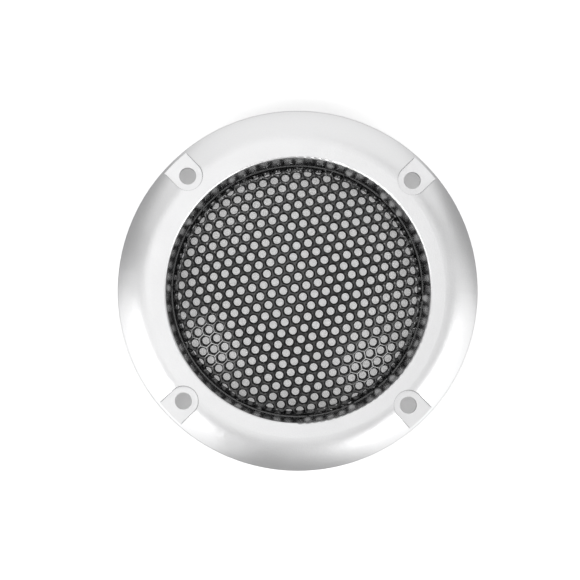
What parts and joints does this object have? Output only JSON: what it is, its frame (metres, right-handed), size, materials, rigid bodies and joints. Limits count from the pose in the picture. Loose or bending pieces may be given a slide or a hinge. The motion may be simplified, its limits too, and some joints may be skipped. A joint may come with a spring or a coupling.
{
  "type": "tweeter grille cover",
  "caption": "Round silver trim ring with recessed screw pockets around a domed perforated metal grille, clamped from behind by a flat ring.",
  "frame": {"origin": "centre of the back face, which lies on the panel the cover is screwed to", "axes": "+Z out of the front of the cover along its round axis; the four screw holes lie on the diagonals between +X and +Y"},
  "size_m": [0.066, 0.066, 0.0096],
  "materials": {
    "silver_trim": "satin silver coating on ABS",
    "black_mesh": "semi-gloss black paint on perforated steel",
    "black_plastic": "moulded black ABS"
  },
  "bodies": {
    "root": {"trim_ring": "silver_trim", "mesh_grille": "black_mesh", "clamp_ring": "black_plastic"}
  },
  "joints": []
}
